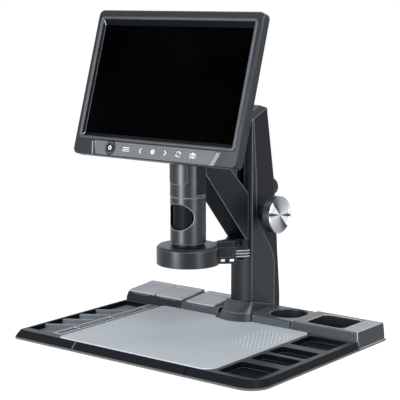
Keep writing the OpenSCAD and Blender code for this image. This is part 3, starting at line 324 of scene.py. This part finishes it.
screen_skin = moulded("screen_moulding", rgb(13, 16, 19), rough=0.3, grain_mm=0.3, grain=0.004,
                      edge_mm=0)
shell_skin = moulded("screen_shell", rgb(22, 25, 29), rough=0.40, spec=0.25, grain_mm=0.3,
                     grain=0.006, edge_mm=0.9, edge_glint=0.2)
bezel_skin = moulded("bezel_moulding", rgb(5, 7, 9), rough=0.35, spec=0.05, edge_mm=0.3)
bead_skin = moulded("bead_anodised", rgb(64, 67, 71), metal=0.8, spec=0.5, grain_mm=0.2,
                    grain=0.0005, edge_mm=0)
print_skin = moulded("white_print", rgb(220, 223, 225), rough=0.5, spec=0.2, edge_mm=0)
# painted highlight for the mitre lines down the display's slope
mitre_highlight_skin = moulded("painted_mitre_highlight", rgb(150, 155, 160), rough=0.5, spec=0.4, edge_mm=0)
strip_trim = moulded("strip_trim", rgb(104, 108, 110), rough=0.4, spec=0.25, edge_mm=0.2)
# painted shade for the gaps between base modules
gap_shade_skin = moulded("painted_gap_shade", rgb(2, 2, 3), rough=0.7, spec=0.0, edge_mm=0)


def ribbed_casting():
    """A dark casting whose ribs, one every 3.6 mm down from the topmost, carry a painted highlight
    in a light colour.
    """
    top_rib = 101.45 * MM
    pitch = 3.6 * MM
    rib_share = 0.4
    surface = Surface("ribbed_link")
    depth = surface.math("SUBTRACT", top_rib, surface.place()["Z"])
    phase = surface.math("FRACT", surface.math("DIVIDE", depth, pitch))
    in_rib = surface.math("LESS_THAN", phase, rib_share)
    below_top = surface.math("GREATER_THAN", depth, 0.0)
    rib_highlight = surface.math("MULTIPLY", in_rib, below_top)
    dark = surface.ramp(surface.noise(80, 2), between(rgb(16, 18, 21), rgb(24, 27, 30)))
    # painted highlight: each rib is coloured light
    surface.set(Base_Color=surface.mix(rib_highlight, dark, rgb(150, 155, 160)),
                Normal=surface.bevel(0.3 * MM), Roughness=0.4, Specular_IOR_Level=0.2)
    return surface.material


def woven_strip():
    """A fine weave of two greys, set at 45 degrees in the upright plane."""
    checks_per_metre = 820
    surface = Surface("control_strip")
    turned = surface.add("Mapping", {"Vector": surface.coords,
                                     "Rotation": (0, math.radians(45), 0)})
    flat = surface.add("VectorMath", {0: turned.outputs["Vector"], 1: (1, 0, 1)},
                       operation="MULTIPLY")
    checks = surface.add("TexChecker", {"Vector": flat.outputs["Vector"],
                                        "Scale": checks_per_metre,
                                        "Color1": rgb(56, 60, 64), "Color2": rgb(88, 92, 96)})
    surface.set(Base_Color=checks.outputs["Color"],
                Normal=surface.bump(checks.outputs["Fac"], 0.05 * MM),
                Roughness=0.4, Specular_IOR_Level=0.25)
    return surface.material


# painted reflection: light and dark bands round a knob's face, as shares of half a turn
PAINTED_SHEEN_BANDS = [
    (0.0, rgb(40, 44, 48)), (0.022, rgb(52, 56, 60)), (0.05, rgb(165, 168, 171)),
    (0.09, rgb(212, 215, 218)), (0.2, rgb(190, 193, 196)), (0.38, rgb(164, 168, 172)),
    (0.55, rgb(146, 150, 154)), (0.67, rgb(98, 102, 108)), (0.76, rgb(54, 57, 68)),
    (0.792, rgb(52, 55, 66)), (0.802, rgb(216, 218, 222)), (0.958, rgb(222, 223, 227)),
    (0.985, rgb(56, 62, 66)), (1.0, rgb(40, 44, 48))]


def turned_aluminium():
    """Turned metal whose end faces carry painted reflection bands by the angle round the knobs'
    shaft.
    """
    _, shaft_y, shaft_z = JOINTS["knob_spin"]["pos_m"]
    sheen_shift = 0.051
    end_face_slope = 0.55
    surface = Surface("knob_aluminium")
    place = surface.place()
    across = surface.math("SUBTRACT", place["Y"], shaft_y)
    up = surface.math("SUBTRACT", place["Z"], shaft_z)
    angle = surface.math("ARCTAN2", up, across)
    half_turns = surface.math("MULTIPLY_ADD", angle, 1 / math.pi, sheen_shift)
    sheen = surface.ramp(surface.math("FRACT", half_turns), PAINTED_SHEEN_BANDS)
    sideways = surface.math("ABSOLUTE", surface.facing()["X"])
    end_face = surface.math("GREATER_THAN", sideways, end_face_slope)
    rim = surface.ramp(surface.noise(60, 2, stretch=(1, 0.2, 0.2)),
                       between(rgb(84, 90, 98), rgb(108, 114, 122)))
    rings = surface.noise(2600, 1, stretch=(0.02, 1, 1))
    surface.set(Base_Color=surface.mix(end_face, rim, sheen),
                Normal=surface.bump(rings, 0.004 * MM, surface.bevel(0.8 * MM)),
                Metallic=1.0, Roughness=0.38)
    return surface.material


def display_glass():
    surface = Surface("display_glass")
    haze = surface.ramp(surface.noise(14, 2), [(0.35, rgb(1, 1, 1)), (0.75, rgb(3, 3, 4))])
    surface.set(Base_Color=haze, Roughness=0.12, Specular_IOR_Level=0.0)
    return surface.material


def lens_glass():
    surface = Surface("lens_glass")
    coating = between(rgb(60, 80, 120), rgb(90, 70, 120))
    surface.set(Base_Color=surface.ramp(surface.noise(60, 1), coating), Roughness=0.03,
                Transmission_Weight=0.6, IOR=1.5)
    return surface.material


dress(tray, "left_tray", "centre_plate", "right_tray")
dress(divider_skin, "tray_dividers")
dress(rack_skin, "bit_rack")
dress(box_skin, "right_storage_box")
dress(shaded_box_skin, "left_storage_box")
dress(middle_box_skin, "centre_storage_box")
dress(lid_skin, "box_inlay", "storage_lid_1", "storage_lid_2", "storage_lid_3")
dress(cover_skin, "left_bottom_cover", "centre_bottom_cover", "right_bottom_cover")
dress(feet, "rubber_feet")
dress(mat_skin, "work_mat")

dress(foot_skin, "column_foot")
dress(column_front, "column_front_shell")
dress(column_rear, "column_rear_shell")
dress(cap_skin, "column_cap")
dress(turned_aluminium(), "focus_knob_right", "focus_knob_left")
dress(strut_skin, "arm_strut")
dress(light_arm_skin, "light_arm")
dress(ribbed_casting(), "ribbed_link")

dress(barrel, "head_housing", "lower_sleeve")
dress(barrel_front, "head_front_cover")
dress(neck, "lens_cell")
dress(grip, "focus_ring")
dress(lens_glass(), "objective_lens")
dress(ring_skin, "ring_light_housing")
dress(control_skin, "light_control_box")
dress(milk, "ring_diffuser")
dress(lamp_skin, "lamp_board")
dress(key_skin, "light_up_key", "light_down_key")

dress(steel, "lid_hinge_pins", "cover_screws", "column_screws", "screen_screws", "hinge_pin",
      "pinion_shaft")
dress(shade_dark_steel, "guide_rails", "column_post", "focus_rack")
dress(shade_dark_aluminium, "carriage")
dress(brass, "shaft_bushes", "pinion_gear")
dress(board_skin, "sensor_board", "main_board")
dress(black, "rear_lock_knob", "power_key", "hinge_bracket")

dress(screen_skin, "screen_front_frame")
dress(shell_skin, "screen_rear_cover")
dress(bezel_skin, "display_bezel")
dress(display_glass(), "lcd_panel")
dress(woven_strip(), "control_panel")


# ---------- ways of making added pieces ----------


def add_piece(name, mesh, material, body):
    mesh.materials.append(material)
    piece = bpy.data.objects.new(name, mesh)
    bpy.context.scene.collection.objects.link(piece)
    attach(piece, body)


def finished(bm, name):
    """The edited mesh as a named mesh, in metres."""
    mesh = bpy.data.meshes.new(name)
    bm.to_mesh(mesh)
    bm.free()
    return mesh


def line(*points):
    """An open path through (x, z) points in mm."""
    return points, False


def loop(points):
    """A closed path through (x, z) points in mm."""
    return points, True


def arc(x, z, radius, start, end, steps=16):
    """Points on a circle about (x, z), from start to end in degrees."""
    angles = [math.radians(start + (end - start) * i / steps) for i in range(steps + 1)]
    return [(x + radius * math.cos(a), z + radius * math.sin(a)) for a in angles]


def rounded(x0, x1, z0, z1, r):
    """A closed rectangle with rounded corners."""
    return (arc(x1 - r, z1 - r, r, 0, 90, 6) + arc(x0 + r, z1 - r, r, 90, 180, 6)
            + arc(x0 + r, z0 + r, r, 180, 270, 6) + arc(x1 - r, z0 + r, r, 270, 360, 6))


def stroke_mesh(paths, radius, flat, matrix):
    """Round strokes along paths in mm, with their depth times flat, as one mesh."""
    data = bpy.data.curves.new("stroke", "CURVE")
    data.dimensions = "3D"
    data.bevel_depth = radius * MM
    data.bevel_resolution = 2
    data.use_fill_caps = True
    for points, closed in paths:
        spline = data.splines.new("POLY")
        spline.points.add(len(points) - 1)
        for point, (x, z) in zip(spline.points, points):
            point.co = (x * MM, 0, z * MM, 1)
        spline.use_cyclic_u = closed
    carrier = bpy.data.objects.new("stroke", data)
    bpy.context.scene.collection.objects.link(carrier)
    graph = bpy.context.evaluated_depsgraph_get()
    mesh = bpy.data.meshes.new_from_object(carrier.evaluated_get(graph))
    bpy.data.objects.remove(carrier)
    mesh.transform(matrix @ Matrix.Diagonal((1, flat, 1, 1)))
    for polygon in mesh.polygons:
        polygon.use_smooth = True
    return mesh


def plate(name, outline, thickness, matrix, material, body, bevel=0.25):
    """A flat plate with softened rims: an outline of (x, z) points in mm, its front at y = 0."""
    bm = bmesh.new()
    front = [bm.verts.new((x * MM, 0, z * MM)) for x, z in outline]
    face = bm.faces.new(front)
    bmesh.ops.recalc_face_normals(bm, faces=[face])
    grown = bmesh.ops.extrude_face_region(bm, geom=[face])
    moved = [v for v in grown["geom"] if isinstance(v, bmesh.types.BMVert)]
    bmesh.ops.translate(bm, verts=moved, vec=(0, thickness * MM, 0))
    bmesh.ops.recalc_face_normals(bm, faces=bm.faces)
    bmesh.ops.bevel(bm, geom=list(bm.edges), offset=bevel * MM, segments=2, affect="EDGES",
                    profile=0.5)
    bm.transform(matrix)
    add_piece(name, finished(bm, name), material, body)


# ---------- screen ----------

# the screen's own frame: x to the right, y into the screen, z up its face, with its origin on
# the front over the middle of the display
SCREEN_AT = (0, -69.5 * MM, 318.2 * MM)
SCREEN_LEAN = math.radians(17.4)
SCREEN = Matrix.Translation(SCREEN_AT) @ Matrix.Rotation(-SCREEN_LEAN, 4, "X")

# the control strip under the display, in mm in the screen's own frame
SIGN_Z = -82.3
TRIM_TOP = -76
TRIM_BOTTOM = -91.4
PRINT_Y = -0.2
POWER_X = -63
POWER_PRINT_Y = -1.1


def on_strip(name, x, paths, radius=0.4, y=PRINT_Y, material=print_skin, body="screen"):
    """Strokes on the control strip, about x on the line of signs."""
    matrix = SCREEN @ Matrix.Translation((x * MM, y * MM, SIGN_Z * MM))
    mesh = stroke_mesh(paths, radius, flat=0.3, matrix=matrix)
    add_piece(name, mesh, material, body)


def chevron(side):
    """An angle bracket that points right for side 1 and left for side -1."""
    return line((-side * 1.3, 2.7), (side * 1.3, 0), (-side * 1.3, -2.7))


def arrow_head(side):
    return line((side * 1.4, side * 0.6), (side * 2.9, side * 0.7), (side * 3.5, side * 2.3))


def make_signs():
    on_strip("sign_power", POWER_X, [line(*arc(0, 0, 1.9, 125, 415)), line((0, 0.6), (0, 3))],
             radius=0.45, y=POWER_PRINT_Y, body="power")
    on_strip("sign_menu", -39, [line((-5, z), (5, z)) for z in (2, 0, -2)], radius=0.25)
    on_strip("sign_back", -17, [chevron(-1)])
    on_strip("sign_enter", 1.4, [loop(arc(0, 0, 2.3, 0, 345)), loop(arc(0, 0, 0.5, 0, 315, 8))])
    on_strip("sign_next", 19.8, [chevron(1)])
    on_strip("sign_turn", 38.8, [line(*arc(0, 0, 3, 20, 150)), line(*arc(0, 0, 3, 200, 330)),
                                 arrow_head(1), arrow_head(-1)], radius=0.25)
    on_strip("sign_picture", 59.6, [loop(rounded(-3.6, 3.6, -2.6, 1.9, 0.6)),
                                    loop(arc(0, -0.4, 1.2, 0, 330, 12)),
                                    line((-1.4, 2.1), (-0.8, 3), (0.8, 3), (1.4, 2.1))],
             radius=0.25)


def make_power_surround():
    """An oval collar round the power key, a little taller than wide."""
    radius = 6.9
    tall = 1.12
    points = 32
    circle = arc(0, 0, radius, 0, 360 - 360 / points, points - 1)
    on_strip("power_surround", POWER_X, [loop([(x, z * tall) for x, z in circle])], radius=0.9,
             material=black)


def make_bead():
    """The rounded bead round the display."""
    half_width = 113.9
    bottom, top = -71.8, 74.2
    corner = 3.2
    path = loop(rounded(-half_width, half_width, bottom, top, corner))
    mesh = stroke_mesh([path], radius=2.2, flat=0.95, matrix=SCREEN)
    add_piece("display_bead", mesh, bead_skin, "screen")


def make_glint():
    """A painted glint: a fine light line down the display's left edge."""
    x = -109.9
    half_height = 65.6
    depth = 2.6
    path = line((x, -half_height), (x, half_height))
    matrix = SCREEN @ Matrix.Translation((0, depth * MM, 0))
    mesh = stroke_mesh([path], radius=0.45, flat=1.0, matrix=matrix)
    add_piece("left_glint", mesh, bead_skin, "screen")


def mitre(name, bead_z, display_z):
    """A painted highlight: a thin light line down the slope from the bead's left corner to the
    display's.
    """
    bead_x, display_x = -112, -109.6
    display_depth = 2.7
    radius = 0.5 * MM
    start = Vector((bead_x, 0.0, bead_z)) * MM
    along = Vector((display_x, display_depth, display_z)) * MM - start
    bm = bmesh.new()
    bmesh.ops.create_cone(bm, cap_ends=True, segments=8, radius1=radius, radius2=radius,
                          depth=1.0, matrix=Matrix.Translation((0, 0, 0.5)))
    bmesh.ops.scale(bm, vec=(1, 1, along.length), verts=bm.verts)
    turn = along.to_track_quat("Z", "Y").to_matrix().to_4x4()
    bm.transform(SCREEN @ Matrix.Translation(start) @ turn)
    add_piece(name, finished(bm, name), mitre_highlight_skin, "screen")


def strip_end(name, top_xs, bottom_xs, thickness, proud, bevel):
    """A slanted plate of trim at an end of the control strip, standing proud of it."""
    outline = [(top_xs[0], TRIM_TOP), (top_xs[1], TRIM_TOP),
               (bottom_xs[1], TRIM_BOTTOM), (bottom_xs[0], TRIM_BOTTOM)]
    plate(name, outline, thickness, SCREEN @ Matrix.Translation((0, -proud * MM, 0)),
          strip_trim, "screen", bevel)


make_signs()
make_power_surround()
make_bead()
make_glint()
mitre("mitre_top_left", bead_z=72.3, display_z=65.8)
mitre("mitre_bottom_left", bead_z=-69.9, display_z=-65.8)
strip_end("strip_end_right", top_xs=(91.6, 97.5), bottom_xs=(84.6, 90.5), thickness=1.0,
          proud=0.5, bevel=0.4)
strip_end("strip_end_left", top_xs=(-94, -92), bottom_xs=(-90.5, -88.5), thickness=0.8,
          proud=0.3, bevel=0.3)


# ---------- head ----------


def head_insert(name, side):
    """A dark insert in the flat recess on one side of the head, 1 right or -1 left."""
    low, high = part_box("head_housing")
    head_y = JOINTS["focus_ring_spin"]["pos_m"][1]
    recess = 1.6 * MM
    half_width = 8.6
    bottom = low[2] / MM + 3.2
    top = high[2] / MM - 6.4
    corner = 1.2
    thickness = 0.6
    turn = (Matrix.Translation((side * (high[0] - recess), head_y, 0))
            @ Matrix.Rotation(side * math.pi / 2, 4, "Z"))
    plate(name, rounded(-half_width, half_width, bottom, top, corner), thickness,
          turn @ Matrix.Translation((0, -thickness * MM, 0)), insert_skin, "head")


head_insert("head_insert_right", 1)
head_insert("head_insert_left", -1)


# ---------- base ----------

# where the centre plate meets the right tray and, mirrored, the left one, in mm
SEAM_X = (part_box("centre_plate")[1][0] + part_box("right_tray")[0][0]) / 2 / MM
# the base's front edge, in mm
BASE_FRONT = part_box("centre_plate")[0][1] / MM


def seam(name, x, path, radius, material):
    """A round line in the joint between two base modules, through (y, z) points in mm."""
    turn = Matrix.Translation((x * MM, 0, 0)) @ Matrix.Rotation(math.pi / 2, 4, "Z")
    mesh = stroke_mesh([line(*path)], radius, flat=1.0, matrix=turn)
    add_piece(name, mesh, material, "base")


def make_box_seam():
    """Painted shade: a near-black line in the gap between the centre and right boxes, up their
    fronts and back on top.
    """
    low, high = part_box("centre_storage_box")
    foot = 12.9
    front = low[1] / MM + 0.4
    back = high[1] / MM - 1.5
    top = high[2] / MM - 0.3
    path = [(front, foot), (front + 0.6, top - 1.2), (front + 1.8, top), (back, top)]
    seam("seam_right", SEAM_X - 0.2, path, 0.7, gap_shade_skin)


def make_lip_seams():
    """Thin lines down the sloping front of the base, where two modules meet: the left one light as
    a painted highlight, the right one near-black as painted shade.
    """
    path = [(BASE_FRONT + 0.66, 4.2), (BASE_FRONT + 7.67, 10.6)]
    seam("lip_seam_left", -SEAM_X, path, 0.5, strip_trim)
    seam("lip_seam_right", SEAM_X, path, 0.5, gap_shade_skin)


def make_mat_dots():
    """Staggered rows of low pyramids pressed into the mat's right side."""
    rows, columns = 20, 9
    first_x, first_y = 63 * MM, -41 * MM
    pitch = 5.4 * MM
    row_pitch = pitch * 0.8
    half_width = 1.1 * MM
    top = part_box("work_mat")[1][2]
    foot = top - 0.05 * MM
    peak_z = top + 0.35 * MM
    bm = bmesh.new()
    for row in range(rows):
        for column in range(columns):
            x = first_x + (column + (row % 2) / 2) * pitch
            y = first_y + row * row_pitch
            rim = [bm.verts.new((x + dx * half_width, y + dy * half_width, foot))
                   for dx, dy in ((1, 0), (0, 1), (-1, 0), (0, -1))]
            peak = bm.verts.new((x, y, peak_z))
            bm.faces.new(rim[::-1])
            for i in range(4):
                bm.faces.new((rim[i], rim[(i + 1) % 4], peak))
    add_piece("mat_dots", finished(bm, "mat_dots"), dot_skin, "base")


make_box_seam()
make_lip_seams()
make_mat_dots()


# ---------- studio ----------

# the floor's glow rises to full white from its inner radius to its rim
FLOOR_R = 0.62
INNER_R = 0.3


def split_by_ray(tree, lit, seen):
    """The shader seen for camera, glossy and transmission rays, and the shader lit for others."""
    rays = tree.add("LightPath").outputs
    direct = tree.math("MAXIMUM", rays["Is Camera Ray"], rays["Is Glossy Ray"])
    any_seen = tree.math("MAXIMUM", direct, rays["Is Transmission Ray"])
    return tree.add("MixShader", {"Fac": any_seen, 1: lit, 2: seen}).outputs[0]


def make_world():
    """A white world to the eye that lights the object only faintly."""
    world = bpy.data.worlds.new("studio")
    bpy.context.scene.world = world
    tree = Tree(world)
    ambient = tree.add("Background", {"Color": (0.95, 0.97, 1.0, 1), "Strength": 0.25})
    white = tree.add("Background", {"Color": (1, 1, 1, 1), "Strength": 1.0})
    tree.add("OutputWorld", {"Surface": split_by_ray(tree, ambient.outputs[0],
                                                     white.outputs[0])})


def make_floor():
    """A white table top that takes a faint shadow, and glows fully white away from the object."""
    bpy.ops.mesh.primitive_circle_add(vertices=96, radius=FLOOR_R, fill_type="NGON")
    floor = bpy.context.object
    floor.name = "floor"
    material = bpy.data.materials.new("floor_paper")
    tree = Tree(material)
    paper = tree.add("BsdfDiffuse", {"Color": (0.8, 0.8, 0.8, 1)})
    coords = tree.add("TexCoord")
    distance = tree.add("VectorMath", {0: coords.outputs["Object"]}, operation="LENGTH")
    fade = tree.add("MapRange", {"Value": distance.outputs["Value"], "From Min": INNER_R,
                                 "From Max": FLOOR_R, "To Min": 0.78, "To Max": 1.0})
    glow = tree.add("Emission", {"Strength": fade.outputs["Result"]})
    shadowed = tree.add("BsdfDiffuse", {"Color": (0.36, 0.36, 0.36, 1)})
    both = tree.add("AddShader", {0: glow.outputs[0], 1: shadowed.outputs[0]})
    tree.add("OutputMaterial", {"Surface": split_by_ray(tree, paper.outputs[0],
                                                        both.outputs[0])})
    floor.data.materials.append(material)


def softbox(name, at, aim_z, width, height, watts):
    """A rectangular lamp that faces the upright axis through the origin, at height aim_z."""
    data = bpy.data.lights.new(name, "AREA")
    data.shape = "RECTANGLE"
    data.size = width
    data.size_y = height
    data.energy = watts
    lamp = bpy.data.objects.new(name, data)
    lamp.location = at
    lamp.rotation_euler = (Vector((0, 0, aim_z)) - Vector(at)).to_track_quat("-Z", "Y").to_euler()
    bpy.context.scene.collection.objects.link(lamp)


make_world()
make_floor()
softbox("front", (-0.250, -2.387, 0.15), aim_z=0.15, width=0.62, height=1.4, watts=88)
softbox("right", (2.15, -0.46, 0.15), aim_z=0.15, width=0.46, height=1.3, watts=35)
softbox("upper_left", (-0.90, -1.77, 0.87), aim_z=0.3, width=0.4, height=0.4, watts=11)
softbox("right_high", (1.455, -0.84, 1.46), aim_z=0.1, width=1.0, height=0.7, watts=26)
softbox("top", (0.0, 0.3, 2.2), aim_z=0.1, width=2.6, height=2.6, watts=29)


bpy.context.view_layer.update()
